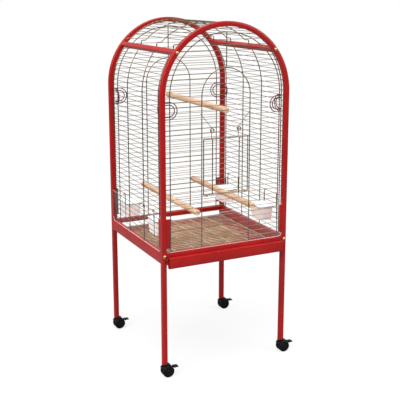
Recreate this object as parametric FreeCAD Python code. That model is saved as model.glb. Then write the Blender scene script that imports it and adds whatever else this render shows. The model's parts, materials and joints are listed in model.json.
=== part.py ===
"""Bird cage on a wheeled stand: two arched tube frames, wire panels, drawer, door, guards and casters.

Millimetres. X points to the right, Y to the rear and Z up. The origin is on the floor, under the
middle of the cage.
"""
import FreeCAD, Part
import math
import os

os.makedirs("parts", exist_ok=True)

# ---- frame ----
width = 560.0                # between the middles of the left and right posts
depth = 560.0                # between the middles of the front and rear posts
tube = 20.0                  # side of the square tube
tube_wall = 1.5
rail_top = 536.0             # top face of the four rails
side_rail_height = 46.0
end_rail_height = 20.0
spring_line = 1155.0         # where the posts turn into the arch
crossbar_angle = 38.5        # degrees above the spring line
sleeve_above = 24.0          # tube that joins a leg to the post above it
sleeve_below = 56.0
end_plate = 3.0              # plate that closes a rail's or crossbar's end
bolt_shank = 6.0
bolt_head = 15.0
bolt_head_height = 6.0
bolt_reach = 10.0            # how far a bolt goes in past the end plate's outer face
bolt_clearance = 0.1
rail_bolt_drop = 13.0        # below the rails' top

# ---- wires ----
thick_wire = 4.0
thin_wire = 2.2
row_pitch = 21.5             # between two thin wires
outline_inset = 32.0         # from the middle of a post to the outline wire
inner_arch_radius = 109.0    # arched stiffener of the front and rear panels
rib_end_gap = 27.0           # from a side panel's outermost uprights to the posts
ribs_per_side = 4
roof_stub = 20.0             # height of the upright stub at each end of a roof rib
roof_bend = 5.0
roof_foot_gap = 0.3
roof_end_gap = 4.0           # from a roof wire's end to the arch beside it
ring_drop = 50.0             # from the spring line down to the corner rings' middle
ring_heights = (34.0, 23.0)  # half-heights of the outer and inner ring
ring_reaches = (57.0, 46.0)  # how far each ring reaches along both panels
ring_bend = 6.0

# ---- door and its catches ----
door_side_gap = 6.0          # between the door and the middles of the uprights beside it
door_first_row = 11          # lowest and highest row of thin wires that cross the door
door_last_row = 20
door_sill_gap = 4.5          # from the row below the door up to the door's bottom bar
door_head_gap = 5.0          # from the door's top bar up to the row above
row_end_gap = 1.0            # between a cut row's end and the middle of the upright beside it
catch_offset = 61.0          # from the door's middle to each spring
catch_rise = 34.0            # from the door's top bar up to the spring
catch_wire = 2.5
catch_coil = 18.0
catch_coil_length = 8.0
catch_reach = 4.0            # how far the arm's tip reaches past the upright that holds it
catch_slope = 53.5           # degrees, of the arm
clip_offset = 88.0
clip_width = 8.0
clip_wall = 1.1
pivot_clearance = 0.3

# ---- seed guards ----
guard_height = 141.0
guard_thickness = 3.0
guard_gap = 0.8              # between the thin wires and the guard
guard_corner = 18.0
guard_side_gap = 0.3
bracket_width = 16.0
bracket_wall = 1.5
bracket_lift = 20.0          # from the rail up to the bracket's lower end

# ---- perches ----
perch_diameter = 25.0
perch_slot_depth = 9.0
perch_slot_clearance = 0.3
centre_perch_row = 26
low_perch_row = 7
left_perch_x = -130.0
right_perch_x = 125.0

# ---- drawer ----
drawer_front_height = 44.0
drawer_front_depth = 16.5
drawer_front_gap = 1.5       # between the posts' front faces and the drawer front
drawer_front_top_drop = 18.0 # below the rails' top
drawer_end_gap = 4.0         # between the drawer front's end and the post beside it
sheet = 1.2
runner_width = 14.0          # flat bars under the tray's flanges
runner_thickness = 3.0
flange_width = 12.0
flange_gap = 0.2
tray_depth = 19.0            # from the flange down to the tray's floor
tray_rear_gap = 2.0
bedding_height = 10.0
bedding_side_gap = 14.0
bedding_rear_gap = 30.0
bedding_front_gap = 8.0
grid_gap = 0.2
grid_inset = 4.0
grid_cross_count = 5

# ---- feeding cups ----
cup_width = 96.0
cup_reach = 72.0
cup_height = 62.0
cup_wall = 2.0
cup_taper = 7.0
cup_corner = 16.0
cup_rim = 4.0
cup_panel_gap = 5.0
cup_rim_drop = 50.0          # from the row that carries the hooks down to the cup's rim
left_cup_row = 7
right_cup_row = 8
cup_places = {"left_front": (-1, -0.452), "left_rear": (-1, 0.733),     # share of the way from the
              "right_front": (1, -0.674), "right_rear": (1, 0.585)}    # middle to the posts
holder_wire = 3.0
holder_gap = 0.25            # round the row under the hooks, and beside the cup
holder_bend = 5.0
hook_tip = 5.0
leg_overlap = 12.0           # from the hooks' row down to the holder's legs

# ---- casters ----
wheel_diameter = 50.0
wheel_width = 14.0
wheel_round = 3.0
axle_diameter = 6.0
core_width = 8.0             # middle of the fork, between the two wheels
wheel_side_gap = 0.5
caster_trail = 12.0
core_drop = 3.0              # fork's middle plate inside the treads, all round
stem_diameter = 10.0
stem_clearance = 0.1
stem_height = 28.0
collar_diameter = 20.0
collar_height = 3.0
plug_flange = 3.0
plug_height = 28.0
swivel_gap = 0.4
hood_gap = 1.6
hood_wall = 1.8
hood_half_width = 17.0
lever_width = 22.0
lever_thickness = 4.0
lever_pin = 3.0
lever_beyond = 21.0          # from the tread to the lever's tip
lever_pin_gap = 4.5          # from the tread to the lever's pin, along the trail
lug_radius = 3.5
leg_rise = 7.0               # from the wheels' top up to the leg

# ---- derived places ----
half_tube = tube / 2
arch_radius = width / 2
post_x = width / 2
post_y = depth / 2
inner_x = post_x - half_tube         # inner faces of the tubes
inner_y = post_y - half_tube
outer_y = post_y + half_tube
frame_bottom = rail_top - side_rail_height
leg_bottom = wheel_diameter + leg_rise
rib_spread = 2 * (inner_y - rib_end_gap) / (ribs_per_side - 1)
door_half_width = inner_arch_radius - door_side_gap
wheel_radius = wheel_diameter / 2
lever_pivot = (wheel_radius + lever_pin_gap, wheel_radius / 2)   # from the axle, along the trail and up
hood_edge = wheel_radius / 2           # the hood's lower edge above the axle, and its end along the trail
row_offset = (thick_wire + thin_wire) / 2      # thin wires are welded beside the thick ones
row_count = int((spring_line + inner_x - thick_wire - rail_top) / row_pitch)
outline_radius = arch_radius - outline_inset
crossbar_turn = math.radians(crossbar_angle)
guard_inner = row_offset + thin_wire / 2 + guard_gap
cut_past = 1.0               # how far a cut runs beyond the face it opens


def vec(x, y, z):
    return FreeCAD.Vector(x, y, z)


def box(x0, x1, y0, y1, z0, z1):
    """A box from one corner to the other."""
    return Part.makeBox(x1 - x0, y1 - y0, z1 - z0, vec(x0, y0, z0))


def rod(start, end, diameter):
    """A straight round bar between two points."""
    axis = end - start
    return Part.makeCylinder(diameter / 2, axis.Length, start, axis)


def hollow(outside, inside):
    return outside.cut(inside)


def line(start, end):
    return Part.LineSegment(start, end).toShape()


def arc(start, middle, end):
    return Part.Arc(start, middle, end).toShape()


def bent_wire(edges, diameter):
    """Round wire along edges that follow one another smoothly."""
    path = Part.Wire(edges)
    first = edges[0]
    place = first.valueAt(first.FirstParameter)
    tangent = first.tangentAt(first.FirstParameter)
    section = Part.Wire([Part.makeCircle(diameter / 2, place, tangent)])
    return path.makePipeShell([section], True, True)


def quarter(centre, start, end):
    """A quarter circle about centre from start to end."""
    middle = (start - centre) + (end - centre)
    middle.normalize()
    return arc(start, centre + middle * (start - centre).Length, end)


def rounded_path(points, radius):
    """Edges through the points, with an arc of the radius at each corner."""
    edges = []
    start = points[0]
    for before, corner, after in zip(points, points[1:], points[2:]):
        back = (before - corner).normalize()
        ahead = (after - corner).normalize()
        half_turn = (math.pi - back.getAngle(ahead)) / 2
        setback = radius * math.tan(half_turn)
        enter, leave = corner + back * setback, corner + ahead * setback
        bisector = (back + ahead).normalize()
        middle = corner + bisector * (radius / math.cos(half_turn) - radius)
        edges += [line(start, enter), arc(enter, middle, leave)]
        start = leave
    return edges + [line(start, points[-1])]


def turned_about_y(shape, x, z, degrees):
    """A copy turned about an axis along Y, from +X towards +Z."""
    copy = shape.copy()
    copy.rotate(vec(x, 0, z), vec(0, 1, 0), -degrees)
    return copy


def row_height(row):
    return rail_top + row * row_pitch


def save(name, shapes):
    """Write one node. Its pieces stay separate solids."""
    solids = []
    for shape in shapes:
        solids.extend(shape.Solids)
    node = solids[0] if len(solids) == 1 else Part.makeCompound(solids)
    node.exportStep("parts/" + name + ".step")


# ================= tube frame =================

def square_tube_z(x, y, z0, z1):
    outside = box(x - half_tube, x + half_tube, y - half_tube, y + half_tube, z0, z1)
    bore = half_tube - tube_wall
    return hollow(outside, box(x - bore, x + bore, y - bore, y + bore, z0, z1))


def leg_sleeve(x, y):
    """Short inner tube that joins a leg to the post above it."""
    outer = half_tube - tube_wall
    inner = outer - tube_wall
    z0, z1 = frame_bottom - sleeve_below, frame_bottom + sleeve_above
    outside = box(x - outer, x + outer, y - outer, y + outer, z0, z1)
    return hollow(outside, box(x - inner, x + inner, y - inner, y + inner, z0, z1))


def half_ring(y, outer, inner, half_width):
    """Upper half of a flat-sided ring about the arch's centre."""
    centre = vec(0, y - half_width, spring_line)
    along = vec(0, 1, 0)
    disc = Part.makeCylinder(outer, 2 * half_width, centre, along)
    hole = Part.makeCylinder(inner, 2 * half_width, centre, along)
    above = box(-outer, outer, y - half_width, y + half_width, spring_line, spring_line + outer)
    return disc.cut(hole).common(above)


def arch_body(y, half):
    """Posts and arch of one frame, as a solid bar of the given half-thickness."""
    bar = half_ring(y, arch_radius + half, arch_radius - half, half)
    for x in (-post_x, post_x):
        bar = bar.fuse(box(x - half, x + half, y - half, y + half, frame_bottom, spring_line))
    return bar.removeSplitter()


def bolt_places():
    """Where the bolts go through an arched frame: (x, z) pairs, rail corners then crossbars."""
    places = [(side * post_x, rail_top - rail_bolt_drop) for side in (-1, 1)]
    rise = spring_line + arch_radius * math.sin(crossbar_turn)
    places += [(side * arch_radius * math.cos(crossbar_turn), rise) for side in (-1, 1)]
    return places


def arched_frame(y):
    frame = hollow(arch_body(y, half_tube), arch_body(y, half_tube - tube_wall))
    for x, z in bolt_places():
        hole = rod(vec(x, y - half_tube, z), vec(x, y + half_tube, z), bolt_shank + 2 * bolt_clearance)
        frame = frame.cut(hole)
    return frame


def capped_tube_y(x, z, half_x, half_z):
    """A rail along Y between the front and rear frames, closed by end plates with bolt holes."""
    outside = box(x - half_x, x + half_x, -inner_y, inner_y, z - half_z, z + half_z)
    reach = inner_y - end_plate
    bore_x = half_x - tube_wall
    bore_z = half_z - tube_wall
    return hollow(outside, box(x - bore_x, x + bore_x, -reach, reach, z - bore_z, z + bore_z))


def drilled(rail, x, z):
    start = vec(x, -inner_y, z)
    return rail.cut(rod(start, vec(x, inner_y, z), bolt_shank + 2 * bolt_clearance))


def side_rail(side):
    x = side * post_x
    rail = capped_tube_y(x, rail_top - side_rail_height / 2, half_tube, side_rail_height / 2)
    return drilled(rail, x, rail_top - rail_bolt_drop)


def end_rail(y):
    z0 = rail_top - end_rail_height
    outside = box(-inner_x, inner_x, y - half_tube, y + half_tube, z0, rail_top)
    bore = half_tube - tube_wall
    inside = box(-inner_x, inner_x, y - bore, y + bore, z0 + tube_wall, rail_top - tube_wall)
    return hollow(outside, inside)


def crossbar(side):
    """Square tube between the two arches, one face square to the arch's radius."""
    flat = drilled(capped_tube_y(side * arch_radius, spring_line, half_tube, half_tube),
                   side * arch_radius, spring_line)
    return turned_about_y(flat, 0, spring_line, side * crossbar_angle)


def cap_bolt(x, y, z):
    """Domed bolt through a frame into the end plate behind it."""
    outward = math.copysign(1.0, y)
    face = y + outward * half_tube
    shank_end = y - outward * (half_tube + bolt_reach)
    shank = rod(vec(x, face, z), vec(x, shank_end, z), bolt_shank)
    radius = bolt_head / 2
    ball = (radius ** 2 + bolt_head_height ** 2) / (2 * bolt_head_height)
    centre = face + outward * (bolt_head_height - ball)
    dome = Part.makeSphere(ball, vec(x, centre, z))
    beyond = Part.makeCylinder(ball, 2 * ball, vec(x, face, z), vec(0, outward, 0))
    return dome.common(beyond).fuse(shank).removeSplitter()


# ================= wire panels =================

def flat_row(row, y):
    """Thin wire across a front or rear panel, its ends against the tubes."""
    z = row_height(row)
    wire = rod(vec(-inner_x, y, z), vec(inner_x, y, z), thin_wire)
    if z + thin_wire / 2 > spring_line:
        room = Part.makeCylinder(inner_x, tube, vec(0, y - half_tube, spring_line), vec(0, 1, 0))
        wire = wire.common(room)
    return wire


def rows_beside_door(row, y):
    """The two short wires beside the door opening."""
    z = row_height(row)
    end = inner_arch_radius - row_end_gap
    return [rod(vec(side * end, y, z), vec(side * inner_x, y, z), thin_wire) for side in (-1, 1)]


def arched_wire(radius, y):
    """Wire that stands on the rail, goes over concentric with the arch and down again."""
    left, right = vec(-radius, y, spring_line), vec(radius, y, spring_line)
    top = vec(0, y, spring_line + radius)
    edges = [line(vec(-radius, y, rail_top), left), arc(left, top, right),
             line(right, vec(radius, y, rail_top))]
    return bent_wire(edges, thick_wire)


def end_panel(y, with_door):
    """Front or rear panel: outline, inner arch, centre stay and the thin rows."""
    wires = [arched_wire(outline_radius, y), arched_wire(inner_arch_radius, y)]
    stay_bottom = spring_line + inner_arch_radius + thick_wire / 2
    stay_top = spring_line + outline_radius - thick_wire / 2
    wires.append(rod(vec(0, y, stay_bottom), vec(0, y, stay_top), thick_wire))
    row_y = y + math.copysign(row_offset, y)
    for row in range(1, row_count + 1):
        if with_door and door_first_row <= row <= door_last_row:
            wires += rows_beside_door(row, row_y)
        else:
            wires.append(flat_row(row, row_y))
    return wires


def rib_places():
    middle = (ribs_per_side - 1) / 2
    return [(number - middle) * rib_spread for number in range(ribs_per_side)]


def on_arc(radius, angle, side, y):
    return vec(side * radius * math.cos(angle), y, spring_line + radius * math.sin(angle))


def side_rib(side, y):
    """Upright wire of a side panel, from the rail up along the arch to the crossbar."""
    end = crossbar_turn - math.asin(half_tube / arch_radius)
    spring = on_arc(arch_radius, 0, side, y)
    bend = arc(spring, on_arc(arch_radius, end / 2, side, y), on_arc(arch_radius, end, side, y))
    return bent_wire([line(vec(side * post_x, y, rail_top), spring), bend], thick_wire)


def side_panel(side):
    """Four ribs with the thin rows on their inner side."""
    wires = [side_rib(side, y) for y in rib_places()]
    radius = arch_radius - row_offset
    highest = crossbar_turn - math.asin((half_tube + thin_wire) / radius)
    row = 1
    while row_height(row) - spring_line < radius * highest:
        above = row_height(row) - spring_line
        place = on_arc(radius, max(above, 0) / radius, side, 0) + vec(0, 0, min(above, 0))
        wires.append(rod(place - vec(0, inner_y, 0), place + vec(0, inner_y, 0), thin_wire))
        row += 1
    return wires


def roof_rib(y):
    """Roof wire: a stub on each crossbar, a step inward, and the arc between them."""
    radius = arch_radius
    tangent = vec(-math.sin(crossbar_turn), 0, math.cos(crossbar_turn))
    seat = on_arc(radius, crossbar_turn, 1, y) + tangent * half_tube
    foot = seat.z + thick_wire / 2 * math.tan(crossbar_turn) + roof_foot_gap
    shelf = seat.z + roof_stub
    rise = shelf + roof_bend - spring_line
    bend_x = math.sqrt((radius + roof_bend) ** 2 - rise ** 2)
    share = radius / (radius + roof_bend)
    join = vec(bend_x * share, y, spring_line + rise * share)
    bend_middle = vec(bend_x, y, shelf + roof_bend)
    outward = ((join - bend_middle).normalize() + vec(0, 0, -1)).normalize()

    def end(side):
        """Points of one end, from the foot to where the arc begins."""
        points = [vec(seat.x, y, foot), vec(seat.x, y, shelf), vec(bend_x, y, shelf),
                  bend_middle + outward * roof_bend, join]
        return [vec(side * point.x, y, point.z) for point in points]

    left, right = end(-1), end(1)
    edges = rounded_path(left[:3], roof_bend) + [arc(*left[2:])]
    edges.append(arc(left[4], vec(0, y, spring_line + radius), right[4]))
    edges += [arc(*reversed(right[2:]))] + rounded_path(list(reversed(right[:3])), roof_bend)
    return bent_wire(edges, thick_wire)


def roof_panel():
    """Loose panel over the top: four ribs, with the thin rows on their outer side."""
    wires = [roof_rib(y) for y in rib_places()]
    radius = arch_radius + row_offset
    span = inner_y - roof_end_gap
    shelf = arch_radius * math.sin(crossbar_turn) + half_tube * math.cos(crossbar_turn) + roof_stub
    lowest = math.asin((shelf + 2 * roof_bend) / arch_radius)
    step = row_pitch / radius
    count = int((math.pi / 2 - lowest) / step)
    for number in range(-count, count + 1):
        place = on_arc(radius, math.pi / 2 + number * step, 1, 0)
        wires.append(rod(place - vec(0, span, 0), place + vec(0, span, 0), thin_wire))
    return wires


def ring_loop(side_x, side_y, half_height, reach):
    """Closed loop bent round the inside of a corner, lying against both tubes' faces."""
    off = thick_wire / 2
    middle = spring_line - ring_drop
    corner_x = inner_x - off
    corner_y = inner_y - off

    def place(a, b, z):
        return vec(side_x * (corner_x - a), side_y * (corner_y - b), middle + z)

    flat = reach - half_height
    bend, high = ring_bend, half_height
    edges = [line(place(flat, 0, high), place(bend, 0, high)),
             quarter(place(bend, bend, high), place(bend, 0, high), place(0, bend, high)),
             line(place(0, bend, high), place(0, flat, high)),
             arc(place(0, flat, high), place(0, reach, 0), place(0, flat, -high)),
             line(place(0, flat, -high), place(0, bend, -high)),
             quarter(place(bend, bend, -high), place(0, bend, -high), place(bend, 0, -high)),
             line(place(bend, 0, -high), place(flat, 0, -high)),
             arc(place(flat, 0, -high), place(reach, 0, 0), place(flat, 0, high))]
    return bent_wire(edges, thick_wire)


def corner_rings():
    return [ring_loop(x, y, high, reach) for x in (-1, 1) for y in (-1, 1)
            for high, reach in zip(ring_heights, ring_reaches)]


# ================= door =================

door_bottom = row_height(door_first_row - 1) + door_sill_gap
door_top = row_height(door_last_row + 1) - door_head_gap
catch_height = door_top + catch_rise
catch_y = -post_y + thick_wire / 2 + catch_wire / 2 + pivot_clearance


def door():
    """Door of welded wires: two bars, four uprights, the rows and the spring pins."""
    y = -post_y
    half = thick_wire / 2
    low, high = door_bottom + half, door_top - half
    bars = [rod(vec(-door_half_width, y, z), vec(door_half_width, y, z), thick_wire)
            for z in (door_bottom, door_top)]
    uprights = []
    for side in (-1, 1):
        edge = side * (door_half_width - half)
        inner = side * catch_offset
        uprights.append(rod(vec(edge, y, low), vec(edge, y, high), thick_wire))
        uprights.append(rod(vec(inner, y, low), vec(inner, y, high), thick_wire))
    rows = [rod(vec(-door_half_width, y - row_offset, row_height(row)),
                vec(door_half_width, y - row_offset, row_height(row)), thin_wire)
            for row in range(door_first_row, door_last_row + 1)]
    return bars + uprights + rows + [spring_pin(side) for side in (-1, 1)]


def spring_pin(side):
    """Wire from the back of the top bar, up behind the coil and forward through it."""
    x = side * catch_offset
    front = catch_y - catch_coil_length / 2
    behind = catch_y + catch_coil_length / 2 + pivot_clearance + catch_wire / 2
    points = [vec(x, -post_y + thick_wire / 2, door_top), vec(x, behind, door_top),
              vec(x, behind, catch_height), vec(x, front, catch_height)]
    return bent_wire(rounded_path(points, catch_wire), catch_wire)


def door_clip(side):
    """Strip wrapped round the sill row and, loosely, round the door's bottom bar."""
    x0 = side * clip_offset - clip_width / 2
    along = vec(1, 0, 0)
    bar = vec(x0, -post_y, door_bottom)
    sill = vec(x0, -post_y - row_offset, row_height(door_first_row - 1))
    bar_bore = thick_wire / 2 + pivot_clearance
    sill_bore = thin_wire / 2
    body = Part.makeCylinder(bar_bore + clip_wall, clip_width, bar, along)
    body = body.fuse(Part.makeCylinder(sill_bore + clip_wall, clip_width, sill, along))
    body = body.cut(Part.makeCylinder(bar_bore, clip_width, bar, along))
    return body.cut(Part.makeCylinder(sill_bore, clip_width, sill, along))


def catch(side):
    """Spring catch: a coil on the door's pin, with an arm behind the upright beside it."""
    middle = vec(side * catch_offset, catch_y, catch_height)
    half = vec(0, catch_coil_length / 2, 0)
    bore = rod(middle - half, middle + half, catch_wire + 2 * pivot_clearance)
    coil = rod(middle - half, middle + half, catch_coil).cut(bore)
    tip_x = inner_arch_radius + catch_reach
    run = tip_x - catch_offset
    slope = math.radians(catch_slope)
    tip = vec(side * tip_x, catch_y, catch_height + run * math.tan(slope))
    direction = tip - middle
    direction.normalize()
    start = middle + direction * (catch_coil / 2 - catch_wire / 2)
    return coil.fuse(rod(start, tip, catch_wire)).removeSplitter()


# ================= seed guards =================

def turned_to(shape, degrees):
    """A copy of a front piece, turned about the cage's middle onto another side."""
    copy = shape.copy()
    copy.rotate(vec(0, 0, 0), vec(0, 0, 1), degrees)
    return copy


def guard_plate(half_span, plane):
    """Clear plate with rounded lower corners, in front of a panel whose wires lie in plane."""
    half = half_span - guard_side_gap - bracket_wall
    y0 = -plane - guard_inner - guard_thickness
    z0 = rail_top + guard_side_gap
    plate = box(-half, half, y0, y0 + guard_thickness, z0, rail_top + guard_height)
    return plate.makeFillet(guard_corner, lower_corners(plate, half, z0))


def lower_corners(plate, half, z0):
    """The two short edges through a plate's thickness at its lower corners."""
    found = []
    for edge in plate.Edges:
        middle = edge.CenterOfMass
        if abs(abs(middle.x) - half) < 0.01 and abs(middle.z - z0) < 0.01:
            found.append(edge)
    return found


def guard_bracket(half_span, plane, side):
    """Angle that holds a guard's end: a flange on the post and a lip over the plate."""
    lip_outer = -plane - half_tube
    plate_outer = -plane - guard_inner - guard_thickness
    z0 = rail_top + bracket_lift
    z1 = rail_top + guard_height
    inner, outer = half_span - bracket_width, half_span
    lip = box(inner, outer, lip_outer, lip_outer + bracket_wall, z0, z1)
    flange = box(outer - bracket_wall, outer, lip_outer, plate_outer + guard_thickness, z0, z1)
    bracket = lip.fuse(flange).removeSplitter()
    return bracket if side > 0 else bracket.mirror(vec(0, 0, 0), vec(1, 0, 0))


guard_sides = {"front": (0, inner_x, post_y), "right": (90, inner_y, post_x),
               "rear": (180, inner_x, post_y), "left": (270, inner_y, post_x)}


def guard_brackets():
    brackets = []
    for degrees, half_span, plane in guard_sides.values():
        for side in (-1, 1):
            brackets.append(turned_to(guard_bracket(half_span, plane, side), degrees))
    return brackets


# ================= perches =================

def perch(x, row):
    """Wooden dowel with a slot across each end that grips the same row front and rear."""
    z = row_height(row)
    end = post_y + row_offset + thin_wire / 2
    dowel = rod(vec(x, -end, z), vec(x, end, z), perch_diameter)
    gap = thin_wire / 2 + perch_slot_clearance
    reach = perch_diameter / 2 + cut_past
    for side in (-1, 1):
        inner = side * (end - perch_slot_depth)
        outer = side * (end + cut_past)
        slot = box(x - reach, x + reach, min(inner, outer), max(inner, outer), z - gap, z + gap)
        dowel = dowel.cut(slot)
    return dowel


# ================= drawer =================

runner_top = frame_bottom + runner_thickness
flange_bottom = runner_top + flange_gap
flange_top = flange_bottom + sheet
tray_floor = flange_top - tray_depth
tray_half = inner_x - runner_width - tray_rear_gap
flange_half = tray_half + flange_width
drawer_back = inner_y - tray_rear_gap
front_rear_face = -outer_y - drawer_front_gap
drawer_front_face = front_rear_face - drawer_front_depth
drawer_front_top = rail_top - drawer_front_top_drop


def runner(side):
    """Flat bar on a side rail's inner face that carries the tray's flange."""
    near, far = sorted((side * inner_x, side * (inner_x - runner_width)))
    return box(near, far, -inner_y, inner_y, frame_bottom, runner_top)


def drawer_tray():
    """Folded pan with side and rear flanges, and a hollow front that is open at both ends."""
    pan = box(-tray_half, tray_half, front_rear_face, drawer_back, tray_floor - sheet, flange_top)
    inside = box(-tray_half + sheet, tray_half - sheet, front_rear_face, drawer_back - sheet,
                 tray_floor, flange_top)
    pan = pan.cut(inside)
    for side in (-1, 1):
        edges = sorted((side * tray_half, side * flange_half))
        flange = box(edges[0], edges[1], -inner_y, drawer_back, flange_bottom, flange_top)
        pan = pan.fuse(flange)
    half = inner_x - drawer_end_gap
    z0 = drawer_front_top - drawer_front_height
    front = box(-half, half, drawer_front_face, front_rear_face, z0, drawer_front_top)
    void = box(-half, half, drawer_front_face + sheet, front_rear_face - sheet,
               z0 + sheet, drawer_front_top - sheet)
    return pan.fuse(front.cut(void)).removeSplitter()


def bedding():
    half = tray_half - bedding_side_gap
    block = box(-half, half, front_rear_face + bedding_front_gap, drawer_back - bedding_rear_gap,
                tray_floor, tray_floor + bedding_height)
    uprights = [edge for edge in block.Edges if abs(edge.Length - bedding_height) < 0.01]
    return block.makeFillet(bedding_side_gap, uprights)


def floor_grid():
    """Loose grid on the tray's flanges: two long sides, cross wires, and thin rows on top."""
    half = flange_half - grid_inset
    z = flange_top + grid_gap + thick_wire / 2
    front, rear = -inner_y + grid_inset, drawer_back - grid_inset
    thick = thick_wire / 2
    wires = [rod(vec(side * half, front, z), vec(side * half, rear, z), thick_wire) for side in (-1, 1)]
    gap = 2 * half / (grid_cross_count + 1)
    for number in range(1, grid_cross_count + 1):
        x = -half + number * gap
        wires.append(rod(vec(x, front, z), vec(x, rear, z), thick_wire))
    count = int((rear - front - 2 * thick) / row_pitch)
    start = (front + rear) / 2 - count * row_pitch / 2
    for number in range(count + 1):
        y = start + number * row_pitch
        wires.append(rod(vec(-half - thick, y, z + row_offset), vec(half + thick, y, z + row_offset),
                         thin_wire))
    return wires


# ================= feeding cups =================

def rounded_block(x0, x1, y0, y1, z0, z1, radius):
    block = box(x0, x1, y0, y1, z0, z1)
    uprights = [edge for edge in block.Edges if abs(edge.Length - (z1 - z0)) < 0.001
                and abs(edge.tangentAt(edge.FirstParameter).z) > 0.99]
    return block.makeFillet(radius, uprights)


def cup_section(x0, x1, half, y, z, radius):
    """Closed outline of a rounded rectangle at height z."""
    block = rounded_block(x0, x1, y - half, y + half, z, z + cup_wall, radius)
    bottom = [face for face in block.Faces if abs(face.CenterOfMass.z - z) < 0.001][0]
    return bottom.OuterWire


def cup_solid(side, y, z, shrink):
    """Tapered block of the cup's outside, or of its inside when shrink is the wall."""
    near = inner_x - cup_panel_gap - shrink
    far = inner_x - cup_panel_gap - cup_reach + shrink
    half = cup_width / 2 - shrink
    radius = cup_corner - shrink
    low = cup_section(far + cup_taper, near - cup_taper / 2, half - cup_taper, y,
                      z + shrink, radius)
    high = cup_section(far, near, half, y, z + cup_height, radius)
    solid = Part.makeLoft([low, high], True, True)
    return solid if side > 0 else solid.mirror(vec(0, 0, 0), vec(1, 0, 0))


def cup(side, y, z):
    """Open cup with a flat rim round its mouth."""
    near = inner_x - cup_panel_gap + cup_rim / 2
    far = inner_x - cup_panel_gap - cup_reach - cup_rim
    half = cup_width / 2 + cup_rim
    top = z + cup_height
    rim = rounded_block(far, near, y - half, y + half, top - cup_wall, top, cup_corner + cup_rim)
    if side < 0:
        rim = rim.mirror(vec(0, 0, 0), vec(1, 0, 0))
    return cup_solid(side, y, z, 0).fuse(rim).cut(cup_solid(side, y, z, cup_wall)).removeSplitter()


def cup_rim_height(side):
    row = left_cup_row if side < 0 else right_cup_row
    return row_height(row) - cup_rim_drop


def cup_holder(side, y, rim):
    """Wire hanger: hooks over a row, a loop under the cup's rim, and two legs on the panel."""
    hook = thin_wire / 2 + holder_gap + holder_wire / 2
    row_x = post_x - row_offset
    near = row_x - hook
    far = inner_x - cup_panel_gap - cup_reach - holder_gap - holder_wire / 2
    half = cup_width / 2 + holder_gap + holder_wire / 2
    top = rim + cup_rim_drop
    low = rim - cup_wall - holder_wire / 2

    def place(x, across, z):
        return vec(side * x, y + across, z)

    def over_row(across):
        return [place(row_x + hook, across, top), place(row_x, across, top + hook),
                place(near, across, top)]

    loop = [place(near, -half, top), place(near, -half, low), place(far, -half, low),
            place(far, half, low), place(near, half, low), place(near, half, top)]
    tips = [place(row_x + hook, across, top - hook_tip) for across in (-half, half)]
    edges = [line(tips[0], over_row(-half)[0]), arc(*over_row(-half))]
    edges += rounded_path(loop, holder_bend)
    edges += [arc(*reversed(over_row(half))), line(over_row(half)[0], tips[1])]
    wires = [bent_wire(edges, holder_wire)]
    for across in (-half - holder_wire, half + holder_wire):
        wires.append(rod(place(near, across, rim - cup_height), place(near, across, top - leg_overlap),
                         holder_wire))
    return wires


# ================= casters =================

def caster_axle(x, y):
    return vec(x + caster_trail, y, wheel_radius)


def leg_plug(x, y):
    """Insert in a leg's lower end, with a flange below it and a bore for the stem."""
    bore = half_tube - tube_wall
    insert = box(x - bore, x + bore, y - bore, y + bore, leg_bottom, leg_bottom + plug_height)
    flange = box(x - half_tube, x + half_tube, y - half_tube, y + half_tube,
                 leg_bottom - plug_flange, leg_bottom)
    hole = rod(vec(x, y, leg_bottom - plug_flange), vec(x, y, leg_bottom + plug_height),
               stem_diameter)
    return insert.fuse(flange).cut(hole).removeSplitter()


def caster_fork(x, y):
    """Stem, collar, middle plate between the wheels, and the hood over them."""
    axle = caster_axle(x, y)
    base = leg_bottom - plug_flange - swivel_gap
    collar_bottom = base - collar_height
    stem = rod(vec(x, y, collar_bottom), vec(x, y, base + stem_height),
               stem_diameter - 2 * stem_clearance)
    collar = rod(vec(x, y, collar_bottom), vec(x, y, base), collar_diameter)
    half = core_width / 2
    across = vec(0, half, 0)
    hood_across = vec(0, hood_half_width, 0)
    core = rod(axle - across, axle + across, wheel_diameter - 2 * core_drop)
    neck = box(x - half_tube, x + half_tube, y - half, y + half, axle.z, collar_bottom)
    outer = wheel_radius + hood_gap + hood_wall
    hood = rod(axle - hood_across, axle + hood_across, 2 * outer)
    hood = hood.cut(rod(axle - hood_across, axle + hood_across, 2 * (outer - hood_wall)))
    above = box(axle.x - outer, axle.x + hood_edge, y - hood_half_width,
                y + hood_half_width, axle.z + hood_edge, base)
    web = rod(axle - across, axle + across, 2 * outer).common(above)
    pivot = axle + vec(lever_pivot[0], 0, lever_pivot[1])
    lug = rod(pivot - across, pivot + across, 2 * lug_radius)
    arm = box(axle.x, pivot.x, y - half, y + half, pivot.z - lug_radius, pivot.z + lug_radius)
    pin_across = vec(0, lever_width / 2, 0)
    pin = rod(pivot - pin_across, pivot + pin_across, lever_pin)
    fork = core.fuse([neck, web, arm, lug, hood.common(above), collar, stem, pin]).removeSplitter()
    bore = axle_diameter + 2 * pivot_clearance
    return fork.cut(rod(axle - across, axle + across, bore))


def caster_wheels(x, y):
    """Two wheels pressed on one axle."""
    axle = caster_axle(x, y)
    inner = core_width / 2 + wheel_side_gap
    outer = inner + wheel_width
    pieces = []
    for side in (-1, 1):
        wheel = rod(axle + vec(0, side * inner, 0), axle + vec(0, side * outer, 0), wheel_diameter)
        rims = [edge for edge in wheel.Edges if edge.Length > 3 * wheel_diameter
                and abs(edge.CenterOfMass.y - axle.y) > 0.1]
        pieces.append(wheel.makeFillet(wheel_round, rims))
    shaft = rod(axle - vec(0, inner, 0), axle + vec(0, inner, 0), axle_diameter)
    return shaft.fuse(pieces).removeSplitter()


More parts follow.
